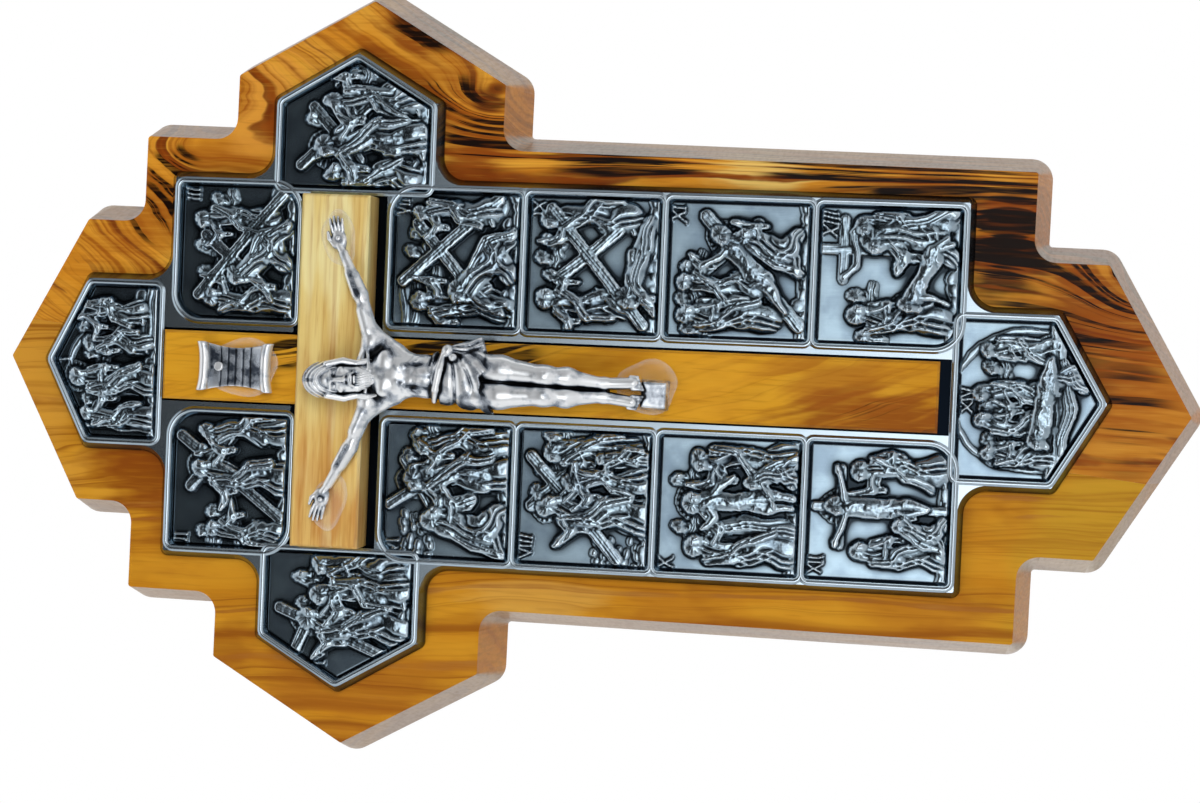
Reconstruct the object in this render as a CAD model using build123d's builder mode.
from build123d import *
import os
from math import atan2, cos, degrees, radians, sin, sqrt

# Wall crucifix: an olive wood board, a cast plate with fourteen panels, an inner wooden cross with a
# cast figure and a title scroll, and a ring hanger let into the back.
# Millimetres. X is the viewer's right, Z is up and the front faces -Y.
# The origin is on the back face of the board, at the middle of its height.

# Board, sizes of the front face
board_thickness = 14.0
board_wall_width = 3.7
board_end_width = 58.0
board_body_step = 17.6
board_arm_step = 13.2
board_arm_point = 16.0
board_top_point = 15.2
board_top_end = 11.9
board_upper_body = 18.8
board_arm_height = 55.3
board_lower_body = 106.8
board_bottom_end = 14.7
board_bottom_point = 17.3
board_corner_radius = 0.6
board_inner_radius = 4.4

# Glue seam between the two planks
seam_shift = -3.0
seam_tilt = 5.3

# Cast plate, sizes at its foot
plate_shift = 0.8
plate_rise = 3.9
plate_turn = 0.54
plate_height = 3.2
plate_foot = 0.8
plate_bevel = 1.3
plate_floor = 2.1
plate_channel_floor = 0.8
plate_border = 2.4
plate_bar = 1.2
plate_end_width = 36.4
plate_body_step = 21.4
plate_arm_step = 15.7
plate_arm_point = 10.6
plate_top_point = 9.0
plate_top_end = 17.2
plate_upper_body = 20.7
plate_arm_height = 35.6
plate_lower_body = 107.0
plate_bottom_end = 17.4
plate_bottom_point = 10.7
plate_corner_radius = 1.7
plate_inner_radius = 4.6

# Panels of the plate
panel_wall_width = 0.4
panel_corner_radius = 0.9
panel_round_radius = 5.0
panel_row_shares = (0.238, 0.246, 0.259, 0.257)

# Heights of the main forms of the panels' scenes over the floor
scene_beam_relief = 0.6
scene_crowd_relief = 0.95
scene_main_relief = 1.3

# Inner wooden cross
post_width = 14.0
post_length = 156.4
post_thickness = 5.7
post_top_inset = 1.0
beam_length = 71.0
beam_height = 13.9
beam_thickness = 8.2
beam_rise = 2.2
lap_height = 2.9
lap_clearance = 0.05
channel_post_gap = 0.5
channel_beam_gap = 1.4
channel_rail = 2.1
channel_end_gap = 2.3
wood_edge_chamfer = 0.5

# Cast figure
figure_height = 67.0
figure_shift = 0.2
figure_turn = -1.8
shoulder_drop = 9.3
hand_reach = 26.1
hand_rise = -0.4
hand_length = 8.8
hand_width = 4.4
hand_thickness = 1.7
figure_base_height = 6.0
foot_block_width = 6.5
foot_block_height = 6.5
foot_block_shift = -2.1
foot_block_taper = 4.0

# Title scroll
title_width = 9.4
title_height = 14.6
title_thickness = 0.9
title_roll_radius = 1.1
title_waist = 0.8
title_middle_drop = 15.5

# Clear glue
glue_thickness = 0.35
glue_margin = 0.9
glue_edge = 0.2

# Pin of the scroll
title_pin_radius = 0.5
title_pin_length = 4.2
title_pin_head_radius = 0.95
title_pin_head_height = 0.6
title_pin_rise = 3.4

# Ring hanger in the back
hanger_axis_z = 94.0
ring_wire_radius = 0.7
ring_width = 12.6
ring_straight = 8.6
ring_bend_radius = 1.6
ring_running_clearance = 0.06
ring_pocket_clearance = 1.4
strap_thickness = 0.7
strap_width = 6.0
strap_length = 9.0
hanger_pin_radius = 0.6
hanger_pin_length = 6.5
hanger_pin_head_radius = 1.4
hanger_pin_head_height = 0.5
hanger_pin_spacing = 3.6
hanger_pin_edge = 2.2
hanger_pin_count = 2
pocket_cover = 0.3
pocket_corner_radius = 4.0

# Shared by all the pieces
pin_clearance = 0.05
cut_overrun = 1.0

# Body of the figure, as shares of its height from the pit of the neck:
# across, up, out from the back of the figure, then the radius
neck_shares = ((0.0, -0.01, 0.085, 0.036), (-0.012, 0.055, 0.105, 0.033))
arm_shares = ((0.088, -0.018, 0.086, 0.031), (0.215, 0.045, 0.081, 0.023), (0.33, 0.094, 0.070, 0.016))
leg_shares = ((0.036, -0.350, 0.088, 0.045), (0.026, -0.525, 0.098, 0.034), (0.021, -0.690, 0.062, 0.023))
foot_shares = ((0.021, -0.690, 0.062, 0.022), (0.014, -0.795, 0.066, 0.017))
knot_shares = ((0.068, -0.185, 0.098, 0.028), (0.083, -0.315, 0.090, 0.017))
hair_shares = ((-0.062, 0.092, 0.080, 0.026), (-0.060, 0.010, 0.090, 0.018))
beard_shares = ((-0.020, 0.032, 0.152, 0.025), (-0.018, -0.012, 0.150, 0.012))
head_shares = (-0.020, 0.104, 0.118)
head_radius_shares = (0.058, 0.092)
# Trunk and loincloth: up, out, half width, half depth
trunk_shares = (
    (0.008, 0.085, 0.075, 0.034),
    (-0.055, 0.092, 0.089, 0.047),
    (-0.125, 0.090, 0.077, 0.045),
    (-0.185, 0.086, 0.062, 0.038),
)
cloth_shares = (
    (-0.160, 0.086, 0.070, 0.046),
    (-0.235, 0.088, 0.084, 0.053),
    (-0.345, 0.088, 0.086, 0.055),
)
joint_swell_share = 1.05
foot_block_drop_share = 0.791

# Sizes of a small figure and of a beam, as shares of half the height of their panel
scene_hem_share = 0.20
scene_shoulder_share = 0.14
scene_head_share = 0.115
scene_neck_share = 0.5
scene_beam_share = 0.085
# Figures of each panel, in the order of the stations and with the main figure last: across and up for the
# hem, then for the head, as shares of half the panel's width and height from its middle
panel_figure_shares = (
    ((-0.7, -0.82, -0.66, 0.26), (0.24, -0.78, 0.22, 0.33), (0.64, -0.72, 0.6, 0.36), (-0.25, -0.84, -0.2, 0.5)),
    ((0.72, -0.86, 0.68, 0.40), (-0.72, -0.86, -0.70, 0.26), (0.05, -0.88, 0.18, 0.48)),
    ((-0.70, -0.82, -0.66, 0.42), (0.49, -0.56, 0.44, 0.58), (0.14, -0.84, -0.36, 0.00)),
    ((0.72, -0.75, 0.72, 0.26), (-0.15, -0.74, -0.04, 0.40), (0.38, -0.80, 0.30, 0.24)),
    ((-0.70, -0.75, -0.70, 0.29), (0.28, -0.60, 0.32, 0.30), (-0.21, -0.78, -0.36, 0.40)),
    ((0.70, -0.82, 0.64, 0.40), (-0.55, -0.86, -0.38, 0.18), (0.25, -0.86, 0.13, 0.50)),
    ((-0.64, -0.75, -0.59, 0.52), (0.70, -0.54, 0.66, 0.56), (0.10, -0.84, -0.46, -0.06)),
    ((0.70, -0.72, 0.63, 0.48), (0.30, -0.86, 0.20, 0.18), (-0.23, -0.86, -0.11, 0.50)),
    ((0.68, -0.40, 0.62, 0.62), (-0.54, -0.40, -0.49, 0.66), (0.62, -0.70, -0.48, -0.46)),
    ((-0.66, -0.86, -0.59, 0.44), (0.68, -0.86, 0.60, 0.40), (0.06, -0.84, 0.06, 0.48)),
    ((-0.67, -0.48, -0.62, 0.66), (0.42, -0.84, 0.54, -0.06), (-0.44, -0.60, 0.42, 0.22)),
    ((-0.60, -0.84, -0.53, 0.24), (0.56, -0.76, 0.58, 0.27), (0.06, -0.66, 0.06, 0.56)),
    ((-0.60, -0.72, -0.56, 0.40), (0.70, -0.78, 0.64, 0.34), (0.46, -0.68, -0.40, -0.24)),
    ((-0.7, -0.34, -0.66, 0.54), (-0.3, -0.4, -0.26, 0.62), (0.68, -0.34, 0.6, 0.56), (0.18, -0.58, 0.06, 0.62)),
)
# Cross of each panel that has one: across and up for its foot, then for its top, as shares of half the panel,
# then the place and the half length of its cross piece, as shares of its length
panel_cross_shares = (
    (),
    (-0.48, -0.80, 0.60, 0.80, 0.70, 0.26),
    (0.84, -0.76, -0.62, 0.64, 0.64, 0.24),
    (-0.48, -0.52, 0.10, 0.80, 0.70, 0.26),
    (0.58, -0.38, -0.60, 0.70, 0.62, 0.24),
    (0.78, -0.76, -0.22, 0.82, 0.72, 0.24),
    (0.82, -0.62, -0.33, 0.78, 0.62, 0.27),
    (-0.80, -0.50, 0.56, 0.78, 0.72, 0.24),
    (-0.80, -0.70, 0.76, 0.60, 0.60, 0.26),
    (),
    (-0.74, -0.80, 0.74, 0.46, 0.72, 0.24),
    (0.06, -0.86, 0.06, 0.86, 0.80, 0.30),
    (0.36, -0.40, 0.36, 0.86, 0.76, 0.34),
    (),
)

os.makedirs("parts", exist_ok=True)


def cross_corners(end_width, body_step, arm_step, arm_point, drops):
    """Corners of a stepped cross, clockwise from its top point, about the middle of its height."""
    levels = [sum(drops) / 2]
    for drop in drops:
        levels.append(levels[-1] - drop)
    top, end_top, body_top, arm_top, arm_bottom, body_bottom, end_bottom, bottom = levels
    end = end_width / 2
    body = end + body_step
    shoulder = body + arm_step
    right = [
        (end, end_top),
        (end, body_top),
        (body, body_top),
        (body, arm_top),
        (shoulder, arm_top),
        (shoulder + arm_point, (arm_top + arm_bottom) / 2),
        (shoulder, arm_bottom),
        (body, arm_bottom),
        (body, body_bottom),
        (end, body_bottom),
        (end, end_bottom),
    ]
    left = [(-x, z) for x, z in reversed(right)]
    return [(0, top), *right, (0, bottom), *left]


def edge_normals(corners):
    """Outward unit normals of the edges of a clockwise outline, each starting at its corner."""
    normals = []
    for (x0, z0), (x1, z1) in zip(corners, corners[1:] + corners[:1]):
        length = sqrt((x1 - x0) ** 2 + (z1 - z0) ** 2)
        normals.append(((z0 - z1) / length, (x1 - x0) / length))
    return normals


def grown(corners, spread):
    """The outline moved outwards by the spread, or inwards where the spread is negative."""
    moved = []
    normals = edge_normals(corners)
    for index, (x, z) in enumerate(corners):
        before = normals[index - 1]
        after = normals[index]
        reach = spread / (1 + before[0] * after[0] + before[1] * after[1])
        moved.append((x + reach * (before[0] + after[0]), z + reach * (before[1] + after[1])))
    return moved


def corner_radii(corners, convex, concave):
    """One radius for each corner of a clockwise outline."""
    normals = edge_normals(corners)
    radii = []
    for index in range(len(corners)):
        before = normals[index - 1]
        after = normals[index]
        turns_out = before[0] * after[1] - before[1] * after[0] < 0
        radii.append(convex if turns_out else concave)
    return radii


def rounded_outline(plane, corners, radii):
    """A face on the plane, with a round at each corner."""
    with BuildSketch(plane) as outline:
        with BuildLine():
            FilletPolyline(*corners, radius=radii, close=True)
        make_face()
    return outline.sketch


def drafted(corners, convex, concave, foot_plane, height, spread):
    """A prism on the outline whose far face is grown by the spread, with its corners kept parallel."""
    foot = rounded_outline(foot_plane, corners, corner_radii(corners, convex, concave))
    far_radii = corner_radii(corners, convex + spread, concave - spread)
    far = rounded_outline(foot_plane.offset(height), grown(corners, spread), far_radii)
    loft([foot, far], ruled=True)


def pocket(corners, radii, floor_plane, depth):
    """A recess with drafted walls, from its floor up to the rim of the plate."""
    floor = rounded_outline(floor_plane, grown(corners, -panel_wall_width), radii)
    mouth = rounded_outline(floor_plane.offset(depth), corners, radii)
    loft([floor, mouth], ruled=True, mode=Mode.SUBTRACT)


def pointed_panel(half_width, shoulder, tip, base):
    """A clockwise panel with a point, inside the border of an arm that points up."""
    arm = [(-half_width, base), (-half_width, shoulder), (0, tip), (half_width, shoulder), (half_width, base)]
    inner = grown(arm, -plate_border)
    return [(inner[0][0], base), *inner[1:4], (inner[4][0], base)]


def rectangle(left, bottom, right, top):
    """Clockwise corners from the lower left."""
    return [(left, bottom), (left, top), (right, top), (right, bottom)]


def mirrored(corners):
    """The outline on the other side of the upright, clockwise again."""
    return [(-x, z) for x, z in reversed(corners)]


def beam_face(start, end, half_width):
    """A straight beam between two places on the sketch."""
    length = sqrt((end[0] - start[0]) ** 2 + (end[1] - start[1]) ** 2)
    slope = degrees(atan2(end[1] - start[1], end[0] - start[0]))
    with Locations(((start[0] + end[0]) / 2, (start[1] + end[1]) / 2)):
        Rectangle(length, 2 * half_width, rotation=slope)


def cross_face(foot, top, arm_place, arm_share, half_width):
    """A plain cross from its foot to its top."""
    beam_face(foot, top, half_width)
    run = (top[0] - foot[0], top[1] - foot[1])
    middle = (foot[0] + arm_place * run[0], foot[1] + arm_place * run[1])
    arm = (arm_share * run[1], -arm_share * run[0])
    left = (middle[0] - arm[0], middle[1] - arm[1])
    right = (middle[0] + arm[0], middle[1] + arm[1])
    beam_face(left, right, half_width)


def robed_face(hem, head, half_height):
    """A small figure: a robe that narrows from its hem to the shoulders, and a round head."""
    tall = sqrt((head[0] - hem[0]) ** 2 + (head[1] - hem[1]) ** 2)
    along = ((head[0] - hem[0]) / tall, (head[1] - hem[1]) / tall)
    head_radius = scene_head_share * half_height
    drop = scene_neck_share * head_radius
    neck = (head[0] - drop * along[0], head[1] - drop * along[1])
    hem_half = scene_hem_share * half_height
    neck_half = scene_shoulder_share * half_height
    Polygon(
        (hem[0] - hem_half * along[1], hem[1] + hem_half * along[0]),
        (neck[0] - neck_half * along[1], neck[1] + neck_half * along[0]),
        (neck[0] + neck_half * along[1], neck[1] - neck_half * along[0]),
        (hem[0] + hem_half * along[1], hem[1] - hem_half * along[0]),
    )
    with Locations(head):
        Circle(head_radius)


def panel_scene(outline, figures, cross):
    """The main forms of a panel's scene, raised from the floor of the panel."""
    acrosses = [x for x, z in outline]
    ups = [z for x, z in outline]
    middle_across = (min(acrosses) + max(acrosses)) / 2
    middle_up = (min(ups) + max(ups)) / 2
    half_width = max(acrosses) - middle_across
    half_height = max(ups) - middle_up

    def place(across_share, up_share):
        """A place on the panel from its shares."""
        return (middle_across + across_share * half_width, middle_up + up_share * half_height)

    if cross:
        with BuildSketch(panel_plane) as beams:
            cross_face(place(*cross[:2]), place(*cross[2:4]), *cross[4:], scene_beam_share * half_height)
        extrude(beams.sketch, amount=scene_beam_relief)
    for group, relief in ((figures[:-1], scene_crowd_relief), (figures[-1:], scene_main_relief)):
        with BuildSketch(panel_plane) as robes:
            for figure in group:
                robed_face(place(*figure[:2]), place(*figure[2:]), half_height)
        extrude(robes.sketch, amount=relief)


# Where the pieces stand: out from the back of the board, and on the plate's own axes
back_plane = Plane(origin=(0, 0, 0), x_dir=(1, 0, 0), z_dir=(0, -1, 0))
face_plane = Plane(
    origin=(plate_shift, -board_thickness, plate_rise),
    x_dir=(cos(radians(plate_turn)), 0, sin(radians(plate_turn))),
    z_dir=(0, -1, 0),
)

plate_drops = (
    plate_top_point,
    plate_top_end,
    plate_upper_body,
    plate_arm_height,
    plate_lower_body,
    plate_bottom_end,
    plate_bottom_point,
)
plate_top = sum(plate_drops) / 2
plate_shoulder = plate_top - plate_top_point
plate_body_top = plate_shoulder - plate_top_end
plate_arm_top = plate_body_top - plate_upper_body
plate_arm_bottom = plate_arm_top - plate_arm_height
plate_arm_middle = (plate_arm_top + plate_arm_bottom) / 2
plate_body_bottom = plate_arm_bottom - plate_lower_body
plate_bottom_shoulder = plate_body_bottom - plate_bottom_end
plate_body_half = plate_end_width / 2 + plate_body_step
plate_arm_half = plate_body_half + plate_arm_step

post_top = plate_body_top - post_top_inset
post_bottom = post_top - post_length
post_front = plate_channel_floor + post_thickness
beam_middle = plate_arm_middle + beam_rise
beam_top = beam_middle + beam_height / 2
beam_bottom = beam_middle - beam_height / 2
beam_front = plate_channel_floor + beam_thickness
lap_level = plate_channel_floor + lap_height

channel_half = post_width / 2 + channel_post_gap
channel_top = post_top + channel_end_gap
channel_bottom = post_bottom - channel_end_gap
beam_channel_top = beam_top + channel_end_gap
beam_channel_bottom = beam_bottom - channel_end_gap
beam_channel_half = beam_length / 2 + channel_beam_gap

# Ring hanger: the axis of the ring, in its pocket under the back face
knuckle_bore_radius = ring_wire_radius + ring_running_clearance
knuckle_radius = knuckle_bore_radius + strap_thickness
pocket_depth = 2 * knuckle_radius + pocket_cover
hanger_axis_y = knuckle_radius - pocket_depth
ring_bow_radius = ring_width / 2
ring_reach = ring_straight + ring_bow_radius + ring_wire_radius
pocket_half_width = ring_bow_radius + ring_wire_radius + ring_pocket_clearance
pocket_half_height = ring_reach + ring_pocket_clearance
hanger_pin_start = hanger_axis_z - strap_length + hanger_pin_edge
hanger_pin_places = [(0, hanger_pin_start + index * hanger_pin_spacing) for index in range(hanger_pin_count)]


def board_blank():
    """The whole board with the pocket and the pin holes of the hanger."""
    drops = (
        board_top_point,
        board_top_end,
        board_upper_body,
        board_arm_height,
        board_lower_body,
        board_bottom_end,
        board_bottom_point,
    )
    corners = cross_corners(board_end_width, board_body_step, board_arm_step, board_arm_point, drops)
    front_plane = Plane(origin=(0, -board_thickness, 0), x_dir=(-1, 0, 0), z_dir=(0, 1, 0))
    drafted(corners, board_corner_radius, board_inner_radius, front_plane, board_thickness, board_wall_width)
    with BuildSketch(back_plane) as pocket_mouth:
        with Locations((0, hanger_axis_z)):
            RectangleRounded(2 * pocket_half_width, 2 * pocket_half_height, pocket_corner_radius)
    extrude(pocket_mouth.sketch, amount=pocket_depth, mode=Mode.SUBTRACT)
    with BuildSketch(back_plane.offset(pocket_depth)) as pin_holes:
        with Locations(*hanger_pin_places):
            Circle(hanger_pin_radius + pin_clearance)
    extrude(pin_holes.sketch, amount=hanger_pin_length - strap_thickness, mode=Mode.SUBTRACT)


# Board: two planks glued edge to edge along a slanted seam
seam_plane = Plane(
    origin=(seam_shift, 0, 0),
    x_dir=(sin(radians(seam_tilt)), 0, cos(radians(seam_tilt))),
    z_dir=(cos(radians(seam_tilt)), 0, -sin(radians(seam_tilt))),
)
with BuildPart() as board_right_plank:
    board_blank()
    split(bisect_by=seam_plane, keep=Keep.TOP)
board_right_plank.part.label = "board_right_plank"
export_step(board_right_plank.part, "parts/board_right_plank.step")

with BuildPart() as board_left_plank:
    board_blank()
    split(bisect_by=seam_plane, keep=Keep.BOTTOM)
board_left_plank.part.label = "board_left_plank"
export_step(board_left_plank.part, "parts/board_left_plank.step")

# Cast plate: a bevelled slab with a channel for the inner cross and a pocket for each panel
plate_corners = cross_corners(plate_end_width, plate_body_step, plate_arm_step, plate_arm_point, plate_drops)
panel_plane = face_plane.offset(plate_floor)
panel_depth = plate_height - plate_floor
column_inner = channel_half + channel_rail
column_outer = plate_body_half - plate_border
row_top = beam_channel_bottom - plate_bar
row_bottom = plate_body_bottom + plate_border
with BuildPart() as station_plate:
    plate_radii = corner_radii(plate_corners, plate_corner_radius, plate_inner_radius)
    extrude(rounded_outline(face_plane, plate_corners, plate_radii), amount=plate_foot)
    drafted(
        plate_corners,
        plate_corner_radius,
        plate_inner_radius,
        face_plane.offset(plate_foot),
        plate_height - plate_foot,
        -plate_bevel,
    )
    # Channel of the inner cross
    with BuildSketch(face_plane.offset(plate_channel_floor)):
        with Locations((0, (channel_top + channel_bottom) / 2)):
            Rectangle(2 * channel_half, channel_top - channel_bottom)
        with Locations((0, beam_middle)):
            Rectangle(2 * beam_channel_half, beam_channel_top - beam_channel_bottom)
    extrude(amount=plate_height, mode=Mode.SUBTRACT)
    # Panels in the order of the stations: the top end, then the left and the right one of each pair
    sharp_radii = (panel_corner_radius,)
    top_panel = pointed_panel(plate_end_width / 2, plate_shoulder, plate_top, channel_top)
    panels = [(top_panel, sharp_radii * len(top_panel))]
    # Upper pair, rounded at the inner top corner and at the corner beside the arm
    upper = rectangle(column_inner, beam_channel_top, column_outer, plate_body_top - plate_border)
    pairs = [(upper, (panel_corner_radius, panel_round_radius, panel_corner_radius, panel_round_radius))]
    # Pointed panels of the two arms
    arm_tip = plate_arm_half + plate_arm_point
    arm_panel = pointed_panel(plate_arm_height / 2, plate_arm_half, arm_tip, beam_channel_half)
    right_arm = [(across, plate_arm_middle - along) for along, across in arm_panel]
    pairs.append((right_arm, sharp_radii * len(right_arm)))
    # Four rows down the shaft, rounded beside the arm and beside the bottom end
    level = row_top
    row_space = row_top - row_bottom - (len(panel_row_shares) - 1) * plate_bar
    for index, share in enumerate(panel_row_shares):
        below = level - share * row_space
        first = panel_round_radius if index == 0 else panel_corner_radius
        last = panel_round_radius if index == len(panel_row_shares) - 1 else panel_corner_radius
        row_radii = (last, panel_corner_radius, first, panel_corner_radius)
        pairs.append((rectangle(column_inner, below, column_outer, level), row_radii))
        level = below - plate_bar
    for outline, radii in pairs:
        panels.append((mirrored(outline), radii[::-1]))
        panels.append((outline, radii))
    # Pointed panel of the bottom end
    bottom_tip = plate_bottom_point - plate_bottom_shoulder
    bottom_base = plate_bar - channel_bottom
    bottom_up = pointed_panel(plate_end_width / 2, -plate_bottom_shoulder, bottom_tip, bottom_base)
    panels.append(([(-x, -z) for x, z in bottom_up], sharp_radii * len(bottom_up)))
    for (outline, radii), figures, cross in zip(panels, panel_figure_shares, panel_cross_shares):
        pocket(outline, radii, panel_plane, panel_depth)
        panel_scene(outline, figures, cross)
station_plate.part.label = "station_plate"
export_step(station_plate.part, "parts/station_plate.step")

# Upright of the inner cross, notched at the front for the cross piece
channel_plane = face_plane.offset(plate_channel_floor)
title_middle = post_top - title_middle_drop
title_pin_place = (0, title_middle + title_pin_rise)
title_pin_seat = post_front + glue_thickness + title_thickness
with BuildPart() as inner_post:
    with BuildSketch(channel_plane):
        with Locations((0, (post_top + post_bottom) / 2)):
            Rectangle(post_width, post_length)
    extrude(amount=post_thickness)
    chamfer(inner_post.faces().sort_by(Axis.Y)[0].edges(), wood_edge_chamfer)
    with BuildSketch(face_plane.offset(lap_level)):
        with Locations((0, beam_middle)):
            Rectangle(post_width + cut_overrun, beam_height + 2 * lap_clearance)
    extrude(amount=post_front, mode=Mode.SUBTRACT)
    with BuildSketch(face_plane.offset(title_pin_seat - title_pin_length)):
        with Locations(title_pin_place):
            Circle(title_pin_radius + pin_clearance)
    extrude(amount=title_pin_length, mode=Mode.SUBTRACT)
inner_post.part.label = "inner_post"
export_step(inner_post.part, "parts/inner_post.step")

# Cross piece, notched at the back for the upright
with BuildPart() as inner_crossbeam:
    with BuildSketch(channel_plane):
        with Locations((0, beam_middle)):
            Rectangle(beam_length, beam_height)
    extrude(amount=beam_thickness)
    chamfer(inner_crossbeam.faces().sort_by(Axis.Y)[0].edges(), wood_edge_chamfer)
    with BuildSketch(channel_plane):
        with Locations((0, beam_middle)):
            Rectangle(post_width + 2 * lap_clearance, beam_height + cut_overrun)
    extrude(amount=lap_height, mode=Mode.SUBTRACT)
inner_crossbeam.part.label = "inner_crossbeam"
export_step(inner_crossbeam.part, "parts/inner_crossbeam.step")

# Cast figure
shoulder_line = beam_middle - shoulder_drop
hand_up = beam_middle + hand_rise
hand_angle = degrees(atan2(hand_up - shoulder_line, hand_reach))


def figure_place(across, up):
    """A place on the plate's axes, from the pit of the figure's neck and turned with the figure."""
    turn = radians(figure_turn)
    return (
        figure_shift + across * cos(turn) - up * sin(turn),
        shoulder_line + across * sin(turn) + up * cos(turn),
    )


def body_point(across_share, up_share, out_share, side=1):
    """A point of the figure from shares of its height, mirrored where the side is -1."""
    place = figure_place(side * across_share * figure_height, up_share * figure_height)
    return face_plane.from_local_coords((*place, figure_base_height + out_share * figure_height))


def limb(shares, side=1):
    """A round limb: a ball at each joint and a tapered bone between them."""
    joints = [body_point(*share[:3], side) for share in shares]
    radii = [share[3] * figure_height for share in shares]
    for joint, radius in zip(joints, radii):
        with Locations(joint):
            Sphere(radius * joint_swell_share)
    for start, end, start_radius, end_radius in zip(joints, joints[1:], radii, radii[1:]):
        with Locations(Plane(origin=start, z_dir=end - start)):
            Cone(start_radius, end_radius, (end - start).length, align=(Align.CENTER, Align.CENTER, Align.MIN))


def trunk(sections):
    """A body of oval sections, each across the figure."""
    ovals = []
    for up_share, out_share, half_width_share, half_depth_share in sections:
        centre = body_point(0, up_share, out_share)
        with BuildSketch(Plane(origin=centre, x_dir=face_plane.x_dir, z_dir=face_plane.y_dir)) as oval:
            Ellipse(half_width_share * figure_height, half_depth_share * figure_height)
        ovals.append(oval.sketch)
    loft(ovals)


foot_block_across = figure_shift + foot_block_shift
foot_block_top = shoulder_line - foot_block_drop_share * figure_height
foot_block_middle = foot_block_top - foot_block_height / 2
foot_block_base = post_front + glue_thickness
toe_out = figure_base_height + foot_shares[-1][2] * figure_height
with BuildPart() as corpus:
    trunk(trunk_shares)
    trunk(cloth_shares)
    limb(neck_shares)
    limb(hair_shares)
    limb(beard_shares)
    limb(knot_shares)
    for side in (1, -1):
        limb(leg_shares, side)
        limb(foot_shares, side)
        limb(arm_shares, side)
    # Skull, turned about its upright axis
    head_radius, head_rise = (share * figure_height for share in head_radius_shares)
    head_centre = body_point(*head_shares)
    with BuildSketch(Plane(origin=head_centre, x_dir=face_plane.x_dir, z_dir=face_plane.z_dir)):
        with BuildLine():
            EllipticalCenterArc((0, 0), head_radius, head_rise, start_angle=-90, arc_size=180)
            Line((0, head_rise), (0, -head_rise))
        make_face()
    revolve(axis=Axis(head_centre, face_plane.y_dir))
    # Open hands, flat on the glue of the cross piece, and their wrists
    for side in (1, -1):
        palm_centre = (*figure_place(side * hand_reach, hand_up - shoulder_line), beam_front + glue_thickness)
        palm = Plane(
            origin=face_plane.from_local_coords(palm_centre),
            x_dir=face_plane.x_dir.rotate(Axis((0, 0, 0), face_plane.z_dir), side * hand_angle),
            z_dir=face_plane.z_dir,
        )
        with BuildSketch(palm):
            Ellipse(hand_length / 2, hand_width / 2)
        extrude(amount=hand_thickness)
        wrist = body_point(*arm_shares[-1][:3], side)
        wrist_radius = arm_shares[-1][3] * figure_height
        heel = palm.origin + face_plane.z_dir * (hand_thickness / 2)
        with Locations(Plane(origin=wrist, z_dir=heel - wrist)):
            Cone(
                wrist_radius,
                hand_thickness / 2,
                (heel - wrist).length,
                align=(Align.CENTER, Align.CENTER, Align.MIN),
            )
    # Foot block
    with BuildSketch(face_plane.offset(foot_block_base)):
        with Locations((foot_block_across, foot_block_middle)):
            Rectangle(foot_block_width, foot_block_height)
    extrude(amount=toe_out - foot_block_base, taper=foot_block_taper)
    # Flat back behind the hands, clear of the cross piece
    with BuildSketch(face_plane):
        with Locations((0, beam_middle)):
            Rectangle(beam_length, beam_height + cut_overrun)
    extrude(amount=beam_front + glue_thickness, mode=Mode.SUBTRACT)
corpus.part.label = "corpus"
export_step(corpus.part, "parts/corpus.step")

# Clear glue: a flat pad with a rounded edge under each cast piece that is stuck to the wood
for name, side in (("glue_right_hand", 1), ("glue_left_hand", -1)):
    with BuildPart() as glue_hand:
        with BuildSketch(face_plane.offset(beam_front)):
            with Locations(figure_place(side * hand_reach, hand_up - shoulder_line)):
                Ellipse(hand_length / 2 + glue_margin, hand_width / 2 + glue_margin, rotation=side * hand_angle)
        extrude(amount=glue_thickness)
        chamfer(glue_hand.faces().sort_by(Axis.Y)[0].edges(), glue_edge)
    glue_hand.part.label = name
    export_step(glue_hand.part, "parts/" + name + ".step")

with BuildPart() as glue_feet:
    with BuildSketch(face_plane.offset(post_front)):
        with Locations((foot_block_across, foot_block_middle)):
            RectangleRounded(
                foot_block_width + 2 * glue_margin, foot_block_height + 2 * glue_margin, 2 * glue_margin
            )
    extrude(amount=glue_thickness)
    chamfer(glue_feet.faces().sort_by(Axis.Y)[0].edges(), glue_edge)
glue_feet.part.label = "glue_feet"
export_step(glue_feet.part, "parts/glue_feet.step")

with BuildPart() as glue_title:
    with BuildSketch(face_plane.offset(post_front)):
        with Locations((0, title_middle)):
            RectangleRounded(title_width + glue_margin, title_height + glue_margin, 2 * glue_margin)
    extrude(amount=glue_thickness)
    chamfer(glue_title.faces().sort_by(Axis.Y)[0].edges(), glue_edge)
    with BuildSketch(face_plane.offset(post_front)):
        with Locations(title_pin_place):
            Circle(title_pin_radius + pin_clearance)
    extrude(amount=glue_thickness, mode=Mode.SUBTRACT)
glue_title.part.label = "glue_title"
export_step(glue_title.part, "parts/glue_title.step")

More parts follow.
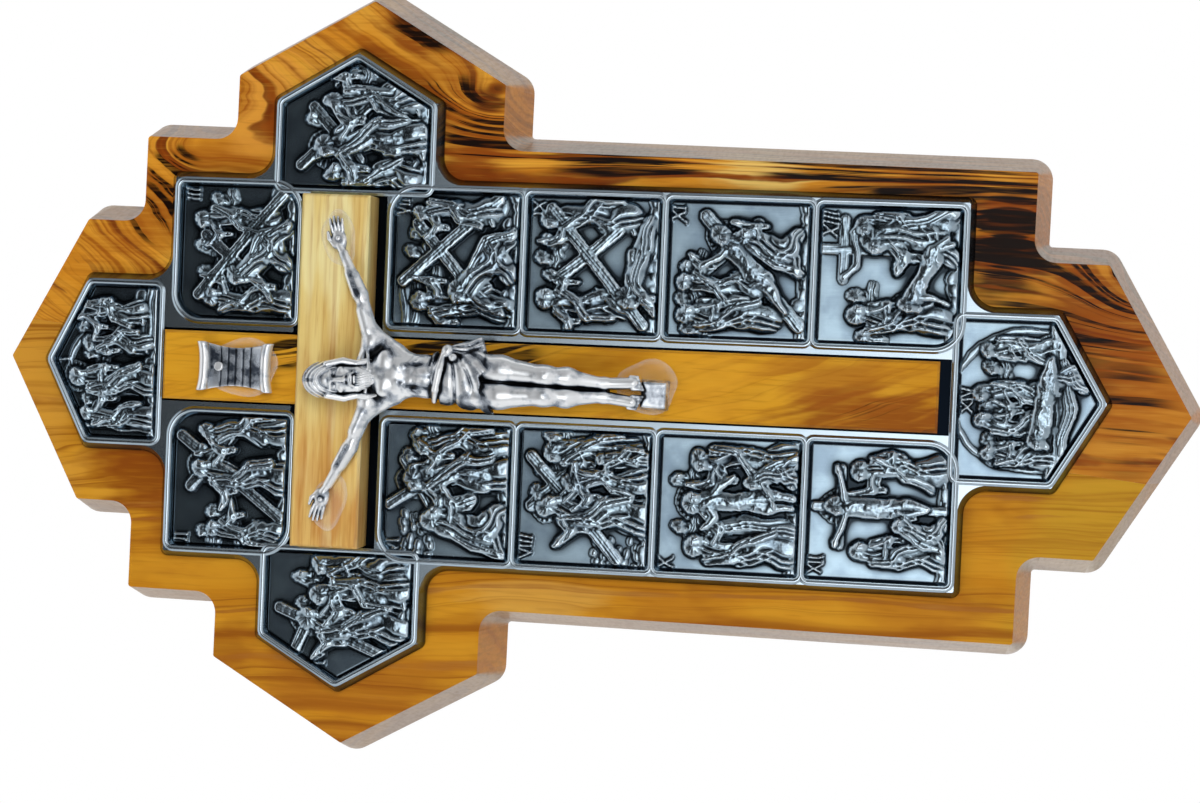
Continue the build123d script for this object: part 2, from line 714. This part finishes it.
# Title scroll: a waisted sheet with a roll across its top and bottom
title_plane = face_plane.offset(post_front + glue_thickness)
roll_offset = title_height / 2 - title_roll_radius
with BuildPart() as title_scroll:
    with BuildSketch(title_plane):
        with BuildLine():
            ThreePointArc(
                (title_width / 2, title_middle - roll_offset),
                (title_width / 2 - title_waist, title_middle),
                (title_width / 2, title_middle + roll_offset),
            )
            Line((title_width / 2, title_middle + roll_offset), (-title_width / 2, title_middle + roll_offset))
            ThreePointArc(
                (-title_width / 2, title_middle + roll_offset),
                (title_waist - title_width / 2, title_middle),
                (-title_width / 2, title_middle - roll_offset),
            )
            Line((-title_width / 2, title_middle - roll_offset), (title_width / 2, title_middle - roll_offset))
        make_face()
    extrude(amount=title_thickness)
    for end in (1, -1):
        roll_centre = title_plane.from_local_coords((0, title_middle + end * roll_offset, title_roll_radius))
        with Locations(Plane(origin=roll_centre, x_dir=face_plane.z_dir, z_dir=face_plane.x_dir)):
            Cylinder(title_roll_radius, title_width)
    with BuildSketch(title_plane):
        with Locations(title_pin_place):
            Circle(title_pin_radius + pin_clearance)
    extrude(amount=title_thickness, mode=Mode.SUBTRACT)
title_scroll.part.label = "title_scroll"
export_step(title_scroll.part, "parts/title_scroll.step")

# Pin of the scroll
with BuildPart() as title_pin:
    with BuildSketch(face_plane.offset(title_pin_seat)):
        with Locations(title_pin_place):
            Circle(title_pin_radius)
    extrude(amount=-title_pin_length)
    with BuildSketch(face_plane.offset(title_pin_seat)):
        with Locations(title_pin_place):
            Circle(title_pin_head_radius)
    extrude(amount=title_pin_head_height)
    fillet(title_pin.faces().sort_by(Axis.Y)[0].edges(), title_pin_head_height / 2)
title_pin.part.label = "title_pin"
export_step(title_pin.part, "parts/title_pin.step")

# Strap of the hanger: a strip on the floor of the pocket, rolled round the bar of the ring
strap_floor = back_plane.offset(pocket_depth)
knuckle_centre = (0, hanger_axis_y, hanger_axis_z)
with BuildPart() as hanger_strap:
    with Locations(Plane(origin=knuckle_centre, x_dir=(0, 1, 0), z_dir=(1, 0, 0))):
        Cylinder(knuckle_radius, strap_width)
    with BuildSketch(strap_floor):
        with Locations((0, hanger_axis_z - strap_length / 2)):
            Rectangle(strap_width, strap_length)
    extrude(amount=-strap_thickness)
    with Locations(Plane(origin=knuckle_centre, x_dir=(0, 1, 0), z_dir=(1, 0, 0))):
        Cylinder(knuckle_bore_radius, strap_width + cut_overrun, mode=Mode.SUBTRACT)
    with BuildSketch(strap_floor):
        with Locations(*hanger_pin_places):
            Circle(hanger_pin_radius + pin_clearance)
    extrude(amount=-strap_thickness, mode=Mode.SUBTRACT)
hanger_strap.part.label = "hanger_strap"
export_step(hanger_strap.part, "parts/hanger_strap.step")

# Hanging ring: a straight bar in the strap and a round bow below it
ring_plane = Plane(origin=knuckle_centre, x_dir=(1, 0, 0), z_dir=(0, -1, 0))
with BuildPart() as hanging_ring:
    with BuildLine(ring_plane) as ring_path:
        half_bar = ring_bow_radius - ring_bend_radius
        Line((-half_bar, 0), (half_bar, 0))
        RadiusArc((half_bar, 0), (ring_bow_radius, -ring_bend_radius), ring_bend_radius)
        Line((ring_bow_radius, -ring_bend_radius), (ring_bow_radius, -ring_straight))
        RadiusArc((ring_bow_radius, -ring_straight), (0, -ring_straight - ring_bow_radius), ring_bow_radius)
        RadiusArc((0, -ring_straight - ring_bow_radius), (-ring_bow_radius, -ring_straight), ring_bow_radius)
        Line((-ring_bow_radius, -ring_straight), (-ring_bow_radius, -ring_bend_radius))
        RadiusArc((-ring_bow_radius, -ring_bend_radius), (-half_bar, 0), ring_bend_radius)
    with BuildSketch(Plane(origin=knuckle_centre, x_dir=(0, 1, 0), z_dir=(1, 0, 0))):
        Circle(ring_wire_radius)
    sweep(path=ring_path.wires()[0])
hanging_ring.part.label = "hanging_ring"
export_step(hanging_ring.part, "parts/hanging_ring.step")

# Pins of the strap
with BuildPart() as hanger_pins:
    with BuildSketch(back_plane.offset(pocket_depth - strap_thickness)):
        with Locations(*hanger_pin_places):
            Circle(hanger_pin_radius)
    extrude(amount=hanger_pin_length)
    with BuildSketch(back_plane.offset(pocket_depth - strap_thickness)):
        with Locations(*hanger_pin_places):
            Circle(hanger_pin_head_radius)
    extrude(amount=-hanger_pin_head_height)
    fillet(
        hanger_pins.faces().filter_by(Axis.Y).group_by(Axis.Y)[-1].edges(),
        hanger_pin_head_height / 2,
    )
hanger_pins.part.label = "hanger_pins"
export_step(hanger_pins.part, "parts/hanger_pins.step")
